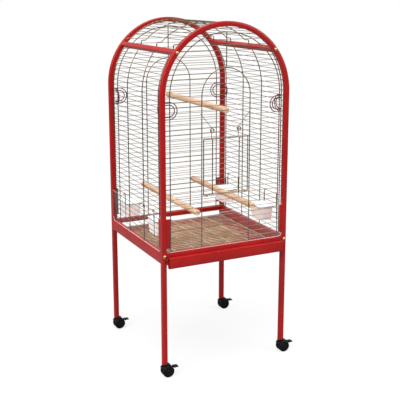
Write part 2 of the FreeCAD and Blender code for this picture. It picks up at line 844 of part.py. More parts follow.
def caster_lever(x, y):
    """Brake pedal: two ears on the pin, and the pad beyond them."""
    axle = caster_axle(x, y)
    pivot = axle + vec(lever_pivot[0], 0, lever_pivot[1])
    inner = core_width / 2 + pivot_clearance
    half = lever_width / 2
    thick = lever_thickness / 2
    pad_start = pivot.x + lug_radius + 2 * pivot_clearance
    pad_end = axle.x + wheel_radius + lever_beyond
    pad = box(pad_start, pad_end, y - half, y + half, pivot.z - thick, pivot.z + thick)
    parts = []
    for side in (-1, 1):
        near, far = sorted((y + side * inner, y + side * half))
        ear = rod(vec(pivot.x, near, pivot.z), vec(pivot.x, far, pivot.z), 2 * lug_radius)
        arm = box(pivot.x, pad_start, near, far, pivot.z - thick, pivot.z + thick)
        parts += [ear, arm]
    across = vec(0, half, 0)
    bore = rod(pivot - across, pivot + across, lever_pin + 2 * pivot_clearance)
    return pad.fuse(parts).removeSplitter().cut(bore)


# ================= nodes =================

corners = {"front_left": (-post_x, -post_y), "front_right": (post_x, -post_y),
           "rear_left": (-post_x, post_y), "rear_right": (post_x, post_y)}
sides = {"left": -1, "right": 1}

for name, (x, y) in corners.items():
    save("leg_" + name, [square_tube_z(x, y, leg_bottom, frame_bottom)])
    save("caster_fork_" + name, [caster_fork(x, y)])
    save("caster_wheels_" + name, [caster_wheels(x, y)])
    save("caster_lever_" + name, [caster_lever(x, y)])
save("leg_plugs", [leg_plug(x, y) for x, y in corners.values()])
save("leg_sleeves", [leg_sleeve(x, y) for x, y in corners.values()])

save("front_arched_frame", [arched_frame(-post_y)])
save("rear_arched_frame", [arched_frame(post_y)])
save("front_rail", [end_rail(-post_y)])
save("rear_rail", [end_rail(post_y)])
for name, side in sides.items():
    save(name + "_side_rail", [side_rail(side)])
    save(name + "_crossbar", [crossbar(side)])
save("rail_bolts", [cap_bolt(x, y, z) for x, z in bolt_places()[:2] for y in (-post_y, post_y)])
save("crossbar_bolts", [cap_bolt(x, y, z) for x, z in bolt_places()[2:] for y in (-post_y, post_y)])

save("front_wire_panel", end_panel(-post_y, True))
save("rear_wire_panel", end_panel(post_y, False))
for name, side in sides.items():
    save(name + "_wire_panel", side_panel(side))
save("roof_wire_panel", roof_panel())
save("corner_rings", corner_rings())

save("door", door())
save("door_hinge_clips", [door_clip(side) for side in sides.values()])
for name, side in sides.items():
    save("door_catch_" + name, [catch(side)])

save("guard_brackets", guard_brackets())
for name, (degrees, half_span, plane) in guard_sides.items():
    save("seed_guard_" + name, [turned_to(guard_plate(half_span, plane), degrees)])

save("perch_centre", [perch(0, centre_perch_row)])
save("perch_left", [perch(left_perch_x, low_perch_row)])
save("perch_right", [perch(right_perch_x, low_perch_row)])

for name, (side, share) in cup_places.items():
    y = share * inner_y
    rim = cup_rim_height(side)
    save("cup_" + name, [cup(side, y, rim - cup_height)])
    save("cup_holder_" + name, cup_holder(side, y, rim))

save("drawer_runners", [runner(side) for side in sides.values()])
save("drawer_tray", [drawer_tray()])
save("bedding", [bedding()])
save("floor_grid", floor_grid())
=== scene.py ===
"""Bird cage on a wheeled stand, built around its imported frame.

Laid out as an add-on: the sizes and colours are properties, each group of pieces has an operator,
and the panel in the sidebar lists them. It is run as a script. All lengths are metres.
"""

import json
import math
import random

import bmesh
import bpy
from mathutils import Euler, Matrix, Vector, noise

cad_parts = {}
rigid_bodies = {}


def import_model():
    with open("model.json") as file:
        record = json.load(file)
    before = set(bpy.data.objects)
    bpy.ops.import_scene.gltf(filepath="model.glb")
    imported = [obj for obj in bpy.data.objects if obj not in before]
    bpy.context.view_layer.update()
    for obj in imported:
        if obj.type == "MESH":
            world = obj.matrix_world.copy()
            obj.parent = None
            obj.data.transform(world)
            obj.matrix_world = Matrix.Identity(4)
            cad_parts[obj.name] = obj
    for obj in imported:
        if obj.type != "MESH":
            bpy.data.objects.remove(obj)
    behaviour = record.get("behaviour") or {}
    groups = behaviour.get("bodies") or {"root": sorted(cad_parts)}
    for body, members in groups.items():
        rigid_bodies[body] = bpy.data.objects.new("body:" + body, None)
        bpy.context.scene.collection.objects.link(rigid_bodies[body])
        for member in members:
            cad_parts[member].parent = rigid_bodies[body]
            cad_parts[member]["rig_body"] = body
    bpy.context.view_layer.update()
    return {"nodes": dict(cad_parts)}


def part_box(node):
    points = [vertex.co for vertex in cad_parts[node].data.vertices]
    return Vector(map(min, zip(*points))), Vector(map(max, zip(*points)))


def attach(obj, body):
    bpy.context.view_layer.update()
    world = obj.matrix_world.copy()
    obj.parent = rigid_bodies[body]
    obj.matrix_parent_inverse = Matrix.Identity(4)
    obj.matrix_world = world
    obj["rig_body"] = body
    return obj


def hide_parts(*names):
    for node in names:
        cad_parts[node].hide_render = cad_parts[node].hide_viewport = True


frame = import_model()
nodes = frame["nodes"]

bl_info = {
    "name": "Bird Cage on Wheeled Stand",
    "version": (1, 0, 0),
    "blender": (4, 5, 0),
    "location": "View3D > Sidebar > Bird Cage",
    "description": "Builds an arched bird cage on a wheeled stand around its frame",
    "category": "Object",
}

CORNERS = ("front_left", "front_right", "rear_left", "rear_right")
CUPS = ("left_front", "left_rear", "right_front", "right_rear")
SIDES = {"left": -1, "right": 1}

# Rounding along the edges of the pieces that start as a copy of their frame node, in metres.
ROUNDING = {"seed_guard": 0.0005, "guard_brackets": 0.0005, "door_hinge_clips": 0.0003,
            "perch": 0.0008, "cup": 0.0007, "drawer_runners": 0.0004, "caster_fork": 0.0005,
            "caster_lever": 0.0006, "leg_plugs": 0.0004}


# ---- properties ----

def length(name, description, default):
    return bpy.props.FloatProperty(name=name, description=description, default=default,
                                   unit="LENGTH", precision=4, min=0.0)


def amount(name, description, default, **kind):
    return bpy.props.FloatProperty(name=name, description=description, default=default, **kind)


def count(name, description, default):
    return bpy.props.IntProperty(name=name, description=description, default=default, min=1)


def colour(name, description, default):
    return bpy.props.FloatVectorProperty(name=name, description=description, default=default,
                                         subtype="COLOR", size=3, min=0.0, max=1.0)


class CageSizes(bpy.types.PropertyGroup):
    """Sizes of the details that the frame leaves plain."""
    tube: length("Tube", "Side of the square tube", 0.020)
    tube_rounding: length("Tube rounding", "Radius of the tube's long edges", 0.0018)
    end_easing: length("End easing", "Small bevel round a tube's ends", 0.0004)
    arch_steps: count("Arch steps", "Facets of each arched frame's half circle", 72)
    post: length("Post", "From the cage's middle to the middle of a post", 0.280)
    spring: length("Spring line", "Height where the posts turn into the arch", 1.155)
    crossbar_angle: amount("Crossbar angle", "Turn of the two crossbars round the arch",
                           math.radians(38.5), subtype="ANGLE")
    fold: length("Fold", "Fold radius along the front of the drawer", 0.0016)
    rail_top: length("Rail top", "Top face of the rails", 0.536)
    row_pitch: length("Row pitch", "Between two thin wires", 0.0215)
    thick_wire: length("Thick wire", "Diameter of the arched and upright wires", 0.004)
    thin_wire: length("Thin wire", "Diameter of the rows", 0.0022)
    outline_radius: length("Outline radius", "Radius of the outer arched wire", 0.248)
    inner_radius: length("Inner arch radius", "Radius of the inner arched wire", 0.109)
    rib_spread: length("Rib spread", "Between two upright wires of a side panel", 0.162)
    weld: length("Weld bead", "Radius of a weld bead where two wires cross", 0.0016)
    coil_wire: length("Spring wire", "Diameter of the door catches' wire", 0.0022)
    coil: length("Coil", "Outer diameter of each door catch's coil", 0.018)
    coil_turns: count("Coil turns", "Turns of each door catch's coil", 3)
    bolt_washer: length("Washer", "Thickness of the washer under each domed nut", 0.0012)
    wheel_width: length("Wheel width", "Width of one caster wheel", 0.014)
    axle_gap: length("Axle gap", "From a caster's middle to a wheel's inner face", 0.0045)
    bedding_chips: count("Chips", "Wood chips lying loose on the bedding", 1500)
    chip_length: length("Chip length", "Length of a wood chip", 0.010)


class CageColours(bpy.types.PropertyGroup):
    """Colours of the finishes."""
    lacquer: colour("Lacquer", "Red lacquer of the tubes and sheet", (0.42, 0.010, 0.009))
    lacquer_deep: colour("Deep lacquer", "Where the lacquer lies thicker", (0.35, 0.007, 0.007))
    brass: colour("Brass", "Plated wire", (0.48, 0.36, 0.22))
    brass_dull: colour("Dull brass", "Tarnish on the plated wire", (0.30, 0.22, 0.13))
    # Painted sheen: a paler, less metallic brass that stands in for the bright reflections of the floor
    # grid's upward-facing wires.
    brass_painted_sheen: colour("Bright brass", "Newer plating of the floor grid", (0.95, 0.82, 0.62))
    # Painted shade: the colour that the sides of the plated wire are darkened towards, standing in for
    # the dark reflections on upright wires.
    tarnish: colour("Tarnish", "Sides of the plated wire", (0.05, 0.035, 0.028))
    spring: colour("Spring wire", "Door catches", (0.22, 0.14, 0.10))
    maroon: colour("Maroon", "Corner rings", (0.15, 0.008, 0.035))
    cap: colour("Domed nuts", "Pale gold plating", (0.86, 0.62, 0.38))
    black: colour("Black", "Casters and plugs", (0.003, 0.003, 0.004))
    cup: colour("Cups", "White plastic", (0.94, 0.93, 0.92))
    acrylic: colour("Acrylic", "Clear guards", (0.93, 0.95, 0.95))
    beech: colour("Beech", "Perches", (0.80, 0.56, 0.40))
    beech_dark: colour("Dark beech", "Grain lines of the perches", (0.60, 0.33, 0.16))
    chips_pale: colour("Pale chips", "Palest bedding", (0.66, 0.31, 0.13))
    chips_dark: colour("Dark chips", "Darkest bedding", (0.10, 0.03, 0.012))


class CageStage(bpy.types.PropertyGroup):
    """Camera, floor and lights."""
    lens: amount("Lens", "Focal length in millimetres", 73.5)
    eye: bpy.props.FloatVectorProperty(name="Eye", description="Place of the camera",
                                       default=(-1.536, -3.137, 1.562), subtype="TRANSLATION",
                                       unit="LENGTH")
    azimuth: amount("Azimuth", "Turn of the camera round the cage", math.radians(-26.41),
                    subtype="ANGLE")
    pitch: amount("Pitch", "How far the camera looks down", math.radians(13.09), subtype="ANGLE")
    rise: amount("Shift", "Vertical shift of the lens", -0.05)
    floor: length("Floor", "Radius of the floor", 4.0)
    glow: amount("Floor glow", "How brightly the floor lights itself for the camera", 0.79, min=0.0)
    bounce: amount("Floor bounce", "Grey of the floor for every ray but the camera's", 0.22, min=0.0)
    ceiling: amount("Ceiling", "Brightness of the room overhead", 1.1, min=0.0)
    walls: amount("Walls", "Brightness of the room at eye level", 0.22, min=0.0)
    overhead: amount("Overhead light", "Strength of the soft light above", 2.3, min=0.0)
    key: amount("Key light", "Power of the large light on the left", 95.0, min=0.0, subtype="POWER")
    fill: amount("Fill light", "Power of the light on the right", 40.0, min=0.0, subtype="POWER")


def sizes():
    return bpy.context.scene.cage_sizes


def colours():
    return bpy.context.scene.cage_colours


# ---- modelling helpers ----

def choose(*pieces):
    """Select just these objects in object mode. The first becomes the active one."""
    if bpy.context.object and bpy.context.object.mode != "OBJECT":
        bpy.ops.object.mode_set(mode="OBJECT")
    bpy.ops.object.select_all(action="DESELECT")
    for piece in pieces:
        piece.select_set(True)
    bpy.context.view_layer.objects.active = pieces[0] if pieces else None


def settle(piece, name):
    """Name a new primitive and put its place into its mesh."""
    piece.name = name
    piece.data.name = name
    choose(piece)
    bpy.ops.object.transform_apply(location=True, rotation=True, scale=True)
    return piece


def edit(piece, kind="FACE"):
    """Edit mode with nothing selected."""
    choose(piece)
    bpy.ops.object.mode_set(mode="EDIT")
    bpy.ops.mesh.select_mode(type=kind)
    bpy.ops.mesh.select_all(action="DESELECT")


def pick(piece, kind, test):
    """In edit mode, select just the verts, edges or faces that pass the test."""
    mesh = bmesh.from_edit_mesh(piece.data)
    for element in getattr(mesh, kind):
        element.select_set(test(element))
    bmesh.update_edit_mesh(piece.data)


def leave():
    bpy.ops.object.mode_set(mode="OBJECT")


def move_out(step):
    bpy.ops.mesh.extrude_region_move(TRANSFORM_OT_translate={"value": step})


def face_outward():
    bpy.ops.mesh.select_all(action="SELECT")
    bpy.ops.mesh.normals_make_consistent(inside=False)


def bevelled(piece, width, segments=2, angle=40.0):
    """Round every edge sharper than the angle."""
    bevel = piece.modifiers.new("Rounding", "BEVEL")
    bevel.width = width
    bevel.segments = segments
    bevel.limit_method = "ANGLE"
    bevel.angle_limit = math.radians(angle)
    choose(piece)
    bpy.ops.object.modifier_apply(modifier=bevel.name)
    return piece


def merged_copy(node, name):
    """A copy of a frame node, its loose triangles merged and its flat faces made whole."""
    piece = bpy.data.objects.new(name, nodes[node].data.copy())
    bpy.context.scene.collection.objects.link(piece)
    piece.data.materials.clear()
    edit(piece, "VERT")
    bpy.ops.mesh.select_all(action="SELECT")
    bpy.ops.mesh.remove_doubles(threshold=0.00001)
    bpy.ops.mesh.dissolve_limited(angle_limit=math.radians(0.4))
    leave()
    return piece


def eased(node, name, kind, segments=2, angle=40.0):
    """A merged copy of a frame node with the rounding of its kind of piece."""
    return bevelled(merged_copy(node, name), ROUNDING[kind], segments, angle)


def shaded(piece, angle=35.0):
    choose(piece)
    bpy.ops.object.shade_smooth_by_angle(angle=math.radians(angle))
    return piece


def fit_on(piece, material, slot, *stands_for, body=None, smooth=35.0):
    """Shade a finished piece, give it its material and let it ride on its body."""
    shaded(piece, smooth)
    if not piece.data.materials:
        piece.data.materials.append(material)
    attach(piece, body or nodes[stands_for[0]]["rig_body"])
    if stands_for:
        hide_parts(*stands_for)
    return piece


def paint(node, material):
    """Give a frame node its material."""
    mesh = nodes[node].data
    mesh.materials.clear()
    mesh.materials.append(material)


def repeated(template, places, name):
    """One mesh that holds the template at each place, and the template removed."""
    joined = bmesh.new()
    for place in places:
        mesh = template.data.copy()
        mesh.transform(place)
        joined.from_mesh(mesh)
        bpy.data.meshes.remove(mesh)
    mesh = bpy.data.meshes.new(name)
    joined.to_mesh(mesh)
    joined.free()
    bpy.data.objects.remove(template)
    piece = bpy.data.objects.new(name, mesh)
    bpy.context.scene.collection.objects.link(piece)
    return piece


def copied(piece, name, step):
    """A copy with its own mesh, moved by a step."""
    copy = bpy.data.objects.new(name, piece.data.copy())
    copy.data.transform(Matrix.Translation(step))
    bpy.context.scene.collection.objects.link(copy)
    return copy


# ---- materials ----

def feed(tree, target, values):
    """Set each input of a node, or link it where its value is a socket."""
    for key, value in values.items():
        if isinstance(value, bpy.types.NodeSocket):
            tree.links.new(value, target.inputs[key])
        else:
            target.inputs[key].default_value = value


def add(tree, kind, x, y, values=None, **settings):
    """A node at a place in the tree, with its settings and its inputs."""
    made = tree.nodes.new(kind)
    made.location = (x, y)
    for key, value in settings.items():
        setattr(made, key, value)
    feed(tree, made, values or {})
    return made


def spread(tree, x, y, source, low, high, to_low, to_high):
    """A value that runs from low to high, mapped to run from to_low to to_high."""
    return add(tree, "ShaderNodeMapRange", x, y, {
        "Value": source, "From Min": low, "From Max": high,
        "To Min": to_low, "To Max": to_high}).outputs["Result"]


def mixed(tree, x, y, factor, first, second):
    """A colour between two others."""
    ends = {0: factor, 6: first, 7: second}
    return add(tree, "ShaderNodeMix", x, y, ends, data_type="RGBA").outputs[2]


def product(tree, x, y, first, second):
    """Two values multiplied."""
    return add(tree, "ShaderNodeMath", x, y, {0: first, 1: second}, operation="MULTIPLY").outputs[0]


def lean(tree, x):
    """The Z of the surface's normal: 1 where it faces up, 0 where it faces sideways."""
    shape = add(tree, "ShaderNodeNewGeometry", x, 200)
    split = add(tree, "ShaderNodeSeparateXYZ", x + 150, 200, {"Vector": shape.outputs["Normal"]})
    return split.outputs["Z"]


def for_camera(tree, seen, other, output):
    """Give the camera one shader and every other ray another."""
    rays = add(tree, "ShaderNodeLightPath", 0, 400)
    choice = add(tree, "ShaderNodeMixShader", 350, 0, {
        0: rays.outputs["Is Camera Ray"], 1: other, 2: seen})
    tree.links.new(choice.outputs[0], tree.nodes[output].inputs["Surface"])


def group(name, inputs, outputs):
    """A shader node group with named sockets, and its two end nodes."""
    tree = bpy.data.node_groups.new(name, "ShaderNodeTree")
    for label, kind, value in inputs:
        socket = tree.interface.new_socket(name=label, in_out="INPUT",
                                           socket_type="NodeSocket" + kind)
        if value is not None:
            socket.default_value = value
    for label, kind in outputs:
        tree.interface.new_socket(name=label, in_out="OUTPUT", socket_type="NodeSocket" + kind)
    return tree, add(tree, "NodeGroupInput", -900, 0), add(tree, "NodeGroupOutput", 700, 0)


def skin_group():
    """Slow changes of colour and gloss, with a fine grain, as on paint, plating and moulded plastic."""
    tree, start, end = group("Surface Skin", [
        ("Vector", "Vector", None), ("Colour", "Color", (0.5, 0.5, 0.5, 1)),
        ("Second Colour", "Color", (0.4, 0.4, 0.4, 1)), ("Mottle Scale", "Float", 12.0),
        ("Grain Scale", "Float", 700.0), ("Gloss Low", "Float", 0.2), ("Gloss High", "Float", 0.3)],
        [("Colour", "Color"), ("Roughness", "Float"), ("Height", "Float")])
    mottle = add(tree, "ShaderNodeTexNoise", -600, 200, {
        "Vector": start.outputs["Vector"], "Scale": start.outputs["Mottle Scale"],
        "Detail": 3.0, "Roughness": 0.55})
    grain = add(tree, "ShaderNodeTexNoise", -600, -200, {
        "Vector": start.outputs["Vector"], "Scale": start.outputs["Grain Scale"],
        "Detail": 2.0, "Roughness": 0.6})
    patches = spread(tree, -300, 200, mottle.outputs["Fac"], 0.35, 0.65, 0.0, 1.0)
    tint = mixed(tree, 0, 200, patches, start.outputs["Colour"], start.outputs["Second Colour"])
    gloss = spread(tree, 0, -100, mottle.outputs["Fac"], 0.3, 0.7,
                   start.outputs["Gloss Low"], start.outputs["Gloss High"])
    feed(tree, end, {"Colour": tint, "Roughness": gloss, "Height": grain.outputs["Fac"]})


def dust_group():
    """A thin veil of dust that settles on faces that look up."""
    tree, start, end = group("Settled Dust", [
        ("Vector", "Vector", None), ("Colour", "Color", (0.5, 0.5, 0.5, 1)),
        ("Roughness", "Float", 0.3), ("Amount", "Float", 0.1)],
        [("Colour", "Color"), ("Roughness", "Float")])
    upward = spread(tree, -300, 200, lean(tree, -600), 0.5, 1.0, 0.0, 1.0)
    specks = add(tree, "ShaderNodeTexNoise", -600, -100, {
        "Vector": start.outputs["Vector"], "Scale": 160.0, "Detail": 6.0, "Roughness": 0.7})
    cover = spread(tree, -300, -100, specks.outputs["Fac"], 0.4, 0.7, 0.2, 1.0)
    share = product(tree, 50, 100, product(tree, -100, 100, upward, cover), start.outputs["Amount"])
    pale = mixed(tree, 250, 150, share, start.outputs["Colour"], (0.55, 0.52, 0.48, 1))
    rough = add(tree, "ShaderNodeMath", 250, -100, {0: share, 1: 0.6, 2: start.outputs["Roughness"]},
                operation="MULTIPLY_ADD", use_clamp=True)
    feed(tree, end, {"Colour": pale, "Roughness": rough.outputs[0]})


def side_shade_group():
    """Painted shade: the plating darkened where a surface faces sideways, as all round an upright wire,
    standing in for the dark reflections that upright wires show.
    """
    tree, start, end = group("Side Tarnish", [
        ("Colour", "Color", (0.5, 0.5, 0.5, 1)), ("Amount", "Float", 0.5)], [("Colour", "Color")])
    upright = add(tree, "ShaderNodeMath", -400, 200, {0: lean(tree, -700)}, operation="ABSOLUTE")
    sideways = spread(tree, -200, 200, upright.outputs[0], 0.08, 0.45, 1.0, 0.0)
    share = product(tree, 0, 200, sideways, start.outputs["Amount"])
    feed(tree, end, {"Colour": mixed(tree, 250, 150, share, start.outputs["Colour"],
                                     (*colours().tarnish, 1))})


def shader(name):
    """A material with its tree, its Principled shader and its object coordinates."""
    made = bpy.data.materials.new(name)
    made.use_nodes = True
    tree = made.node_tree
    place = add(tree, "ShaderNodeTexCoord", -1100, 0)
    return made, tree, tree.nodes["Principled BSDF"], place.outputs["Object"]


def bump(tree, bsdf, height, strength, distance):
    relief = add(tree, "ShaderNodeBump", -250, -350, {
        "Strength": strength, "Distance": distance, "Height": height})
    feed(tree, bsdf, {"Normal": relief.outputs["Normal"]})


def placed(tree, name, x, y, values):
    """A node group placed in a material, with that material's own values."""
    return add(tree, "ShaderNodeGroup", x, y, values, node_tree=bpy.data.node_groups[name])


def skinned(name, first, second, mottle, grain, gloss, depth, dust=0.0, tarnish=0.0, **sockets):
    """A material made of the skin group, then the group of painted side shade or the dust group.

    Mottle and grain are texture scales, gloss is the lowest and highest roughness, and depth is
    the height of the grain. The rest are inputs of the Principled shader.
    """
    made, tree, bsdf, place = shader(name)
    skin = placed(tree, "Surface Skin", -800, 100, {
        "Vector": place, "Colour": (*first, 1), "Second Colour": (*second, 1), "Mottle Scale": mottle,
        "Grain Scale": grain, "Gloss Low": gloss[0], "Gloss High": gloss[1]})
    tint, rough = skin.outputs["Colour"], skin.outputs["Roughness"]
    # Painted shade: the sides of the wire are darkened by the way they face, not by any wear.
    if tarnish:
        side_shade_and_patches = placed(tree, "Side Tarnish", -520, 350, {"Amount": tarnish, "Colour": tint})
        tint = side_shade_and_patches.outputs["Colour"]
    if dust:
        veil = placed(tree, "Settled Dust", -520, 100, {
            "Amount": dust, "Vector": place, "Colour": tint, "Roughness": rough})
        tint, rough = veil.outputs["Colour"], veil.outputs["Roughness"]
    feed(tree, bsdf, {"Base Color": tint, "Roughness": rough})
    bump(tree, bsdf, skin.outputs["Height"], 0.35, depth)
    feed(tree, bsdf, {label.replace("_", " "): value for label, value in sockets.items()})
    return made


def textured(tree, kind, x, y, vector, **values):
    """A texture node fed with a vector."""
    return add(tree, "ShaderNodeTex" + kind, x, y, {"Vector": vector, **values})


def beech():
    """Turned beech: long grain lines along the dowel and short dark flecks."""
    chosen = colours()
    made, tree, bsdf, place = shader("Beech")
    along = add(tree, "ShaderNodeMapping", -900, 150, {"Vector": place, "Scale": (260.0, 9.0, 260.0)})
    short = add(tree, "ShaderNodeMapping", -900, -200, {"Vector": place, "Scale": (700.0, 120.0, 700.0)})
    grain = textured(tree, "Noise", -650, 150, along.outputs["Vector"],
                     Scale=1.0, Detail=4.0, Distortion=0.8).outputs["Fac"]
    flecks = textured(tree, "Noise", -650, -200, short.outputs["Vector"], Scale=1.0, Detail=1.0)
    lines = spread(tree, -420, 150, grain, 0.4, 0.68, 0.0, 1.0)
    dark = spread(tree, -420, -200, flecks.outputs["Fac"], 0.66, 0.74, 0.0, 0.5)
    wood = mixed(tree, -200, 150, lines, (*chosen.beech, 1), (*chosen.beech_dark, 1))
    feed(tree, bsdf, {"Base Color": mixed(tree, 0, 100, dark, wood, (0.33, 0.16, 0.07, 1)),
                      "Roughness": spread(tree, -200, -100, grain, 0.3, 0.7, 0.42, 0.6)})
    bump(tree, bsdf, grain, 0.3, 0.0004)
    return made


def bedding_material(name, scale, low, high):
    """Wood chips: every grain of another brown."""
    chosen = colours()
    made, tree, bsdf, place = shader(name)
    cells = textured(tree, "Voronoi", -800, 150, place, Scale=scale)
    fibres = textured(tree, "Noise", -800, -150, place, Scale=3 * scale, Detail=3.0)
    patches = textured(tree, "Noise", -800, 400, place, Scale=14.0, Detail=2.0)
    one = add(tree, "ShaderNodeSeparateColor", -600, 150, {"Color": cells.outputs["Color"]})
    depth = spread(tree, -420, 150, one.outputs["Red"], 0.0, 1.0, low, high)
    wood = mixed(tree, -200, 150, depth, (*chosen.chips_pale, 1), (*chosen.chips_dark, 1))
    side_shade_and_patches = spread(tree, -420, 400, patches.outputs["Fac"], 0.4, 0.7, 0.0, 0.5)
    feed(tree, bsdf, {"Base Color": mixed(tree, 0, 150, side_shade_and_patches, wood, (0.33, 0.12, 0.05, 1)),
                      "Roughness": 0.85, "Specular IOR Level": 0.15})
    bump(tree, bsdf, fibres.outputs["Fac"], 0.6, 0.0008)
    return made


def acrylic(name, alpha, rough):
    """Clear plate whose veil of haze and gloss change slowly over it."""
    made, tree, bsdf, place = shader(name)
    veil = textured(tree, "Noise", -700, 100, place, Scale=9.0, Detail=4.0).outputs["Fac"]
    feed(tree, bsdf, {"Alpha": spread(tree, -450, 100, veil, 0.35, 0.7, alpha * 0.75, alpha * 1.3),
                      "Roughness": spread(tree, -450, -100, veil, 0.3, 0.7, rough, rough + 0.08),
                      "Base Color": (*colours().acrylic, 1), "IOR": 1.49})
    return made


def material(name):
    return bpy.data.materials[name]


def deepened(tint, share):
    """A darker shade of a colour."""
    return tuple(share * part for part in tint)


class CAGE_OT_finishes(bpy.types.Operator):
    """Make the node groups and the materials of every finish"""
    bl_idname = "cage.finishes"
    bl_label = "Finishes"

    def execute(self, context):
        chosen = colours()
        skin_group()
        dust_group()
        side_shade_group()
        skinned("Red Lacquer", chosen.lacquer, chosen.lacquer_deep, 9.0, 650.0, (0.20, 0.30), 0.00006,
                dust=0.02, Coat_Weight=0.12, Coat_Roughness=0.08, Specular_IOR_Level=0.3)
        # The brass wire's sideways faces are darkened by the painted shade group.
        skinned("Brass Wire", chosen.brass, chosen.brass_dull, 30.0, 900.0, (0.22, 0.40), 0.00004,
                tarnish=0.6, Metallic=1.0)
        # The floor grid's brass is paler and less metallic than the other wire: a painted sheen.
        skinned("Bright Brass", chosen.brass_painted_sheen, chosen.brass, 12.0, 900.0, (0.34, 0.48), 0.00004,
                Metallic=0.35)
        skinned("Brass Clips", chosen.brass, chosen.brass_dull, 60.0, 900.0, (0.25, 0.38), 0.00004,
                Metallic=1.0)
        skinned("Spring Wire", chosen.spring, chosen.brass_dull, 60.0, 900.0, (0.28, 0.42), 0.00004,
                Metallic=1.0)
        skinned("Maroon Wire", chosen.maroon, deepened(chosen.maroon, 0.6), 25.0, 700.0,
                (0.22, 0.34), 0.00005, Coat_Weight=0.3)
        skinned("Gold Caps", chosen.cap, deepened(chosen.cap, 0.75), 90.0, 900.0,
                (0.14, 0.26), 0.00003, Metallic=1.0)
        skinned("Black Plastic", chosen.black, (0.006, 0.006, 0.007), 40.0, 1100.0, (0.32, 0.5), 0.00008,
                dust=0.015, Specular_IOR_Level=0.2)
        skinned("Wheel Plastic", chosen.black, (0.005, 0.005, 0.006), 55.0, 900.0, (0.28, 0.46), 0.00008,
                dust=0.01, Specular_IOR_Level=0.2)
        # Painted light: the cups' plastic glows faintly (emission 0.16) to look brighter, standing in
        # for light shining through thin white plastic.
        skinned("White Plastic", chosen.cup, deepened(chosen.cup, 0.93), 22.0, 600.0,
                (0.28, 0.40), 0.00005, dust=0.03, Subsurface_Weight=0.4, Subsurface_Scale=0.02,
                Emission_Color=(1, 1, 1, 1), Emission_Strength=0.16)
        skinned("Zinc Steel", (0.55, 0.56, 0.57), (0.42, 0.43, 0.44), 30.0, 900.0, (0.3, 0.45), 0.00004,
                Metallic=1.0)
        beech()
        bedding_material("Bedding Bed", 260.0, 0.15, 1.0)
        bedding_material("Bedding Chips", 110.0, 0.0, 0.75)
        acrylic("Clear Acrylic", 0.03, 0.03)
        # The guards' edge faces get this nearly opaque pale material: a painted highlight standing in
        # for the bright edges of clear acrylic.
        acrylic("Acrylic Edge", 0.70, 0.12)
        return {"FINISHED"}


# ---- tubes ----

def bar(name, low, high, turn=0.0):
    """A square bar: its long edges rounded, then its ends eased. It may be turned about Y."""
    span = high - low
    axis = max(range(3), key=lambda index: span[index])
    bpy.ops.mesh.primitive_cube_add(size=1.0, location=(low + high) / 2, scale=span)
    piece = settle(bpy.context.object, name)
    edit(piece, "EDGE")
    pick(piece, "edges", lambda edge: abs((edge.verts[0].co - edge.verts[1].co)[axis]) > span[axis] / 2)
    bpy.ops.mesh.bevel(offset=sizes().tube_rounding, segments=3, affect="EDGES")
    pick(piece, "faces", lambda face: abs(face.normal[axis]) > 0.9)
    bpy.ops.mesh.inset(thickness=sizes().end_easing)
    bpy.ops.mesh.select_all(action="DESELECT")
    face_outward()
    leave()
    if turn:
        middle = Matrix.Translation((low + high) / 2)
        piece.data.transform(middle @ Matrix.Rotation(turn, 4, "Y") @ middle.inverted())
    return piece


def arched_tube(name, y, foot):
    """One tube from a post's foot, up, over the arch and down to the other foot."""
    chosen = sizes()
    bpy.ops.mesh.primitive_plane_add(size=chosen.tube, location=(-chosen.post, y, foot))
    piece = settle(bpy.context.object, name)
    edit(piece, "VERT")
    bpy.ops.mesh.select_all(action="SELECT")
    bpy.ops.mesh.bevel(offset=chosen.tube_rounding, segments=3, affect="VERTICES")
    bpy.ops.mesh.select_mode(type="FACE")
    bpy.ops.mesh.select_all(action="SELECT")
    rise = chosen.spring - foot
    move_out((0, 0, rise))
    bpy.ops.mesh.spin(steps=chosen.arch_steps, angle=math.pi, center=(0, y, chosen.spring),
                      axis=(0, -1, 0))
    move_out((0, 0, -rise))
    bpy.ops.mesh.select_all(action="SELECT")
    bpy.ops.mesh.remove_doubles(threshold=0.000001)
    face_outward()
    leave()
    return piece


class CAGE_OT_tubes(bpy.types.Operator):
    """Build the legs, the two arched frames, the rails and the crossbars"""
    bl_idname = "cage.tubes"
    bl_label = "Square tubes"

    def execute(self, context):
        red = material("Red Lacquer")
        chosen = sizes()
        straight = ["leg_" + corner for corner in CORNERS]
        straight += ["front_rail", "rear_rail", "left_side_rail", "right_side_rail"]
        for node in straight:
            fit_on(bar(node + "_tube", *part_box(node)), red, "red_lacquer", node)
        for name, y in (("front", -chosen.post), ("rear", chosen.post)):
            node = name + "_arched_frame"
            piece = arched_tube(node + "_tube", y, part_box(node)[0].z)
            fit_on(piece, red, "red_lacquer", node)
        half = Vector((chosen.tube, 0, chosen.tube)) / 2
        for name, side in SIDES.items():
            node = name + "_crossbar"
            low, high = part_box(node)
            middle = (low + high) / 2
            reach = Vector((0, (high - low).y / 2, 0))
            piece = bar(node + "_tube", middle - half - reach, middle + half + reach,
                        -side * chosen.crossbar_angle)
            fit_on(piece, red, "red_lacquer", node)
        paint("leg_sleeves", material("Zinc Steel"))
        return {"FINISHED"}


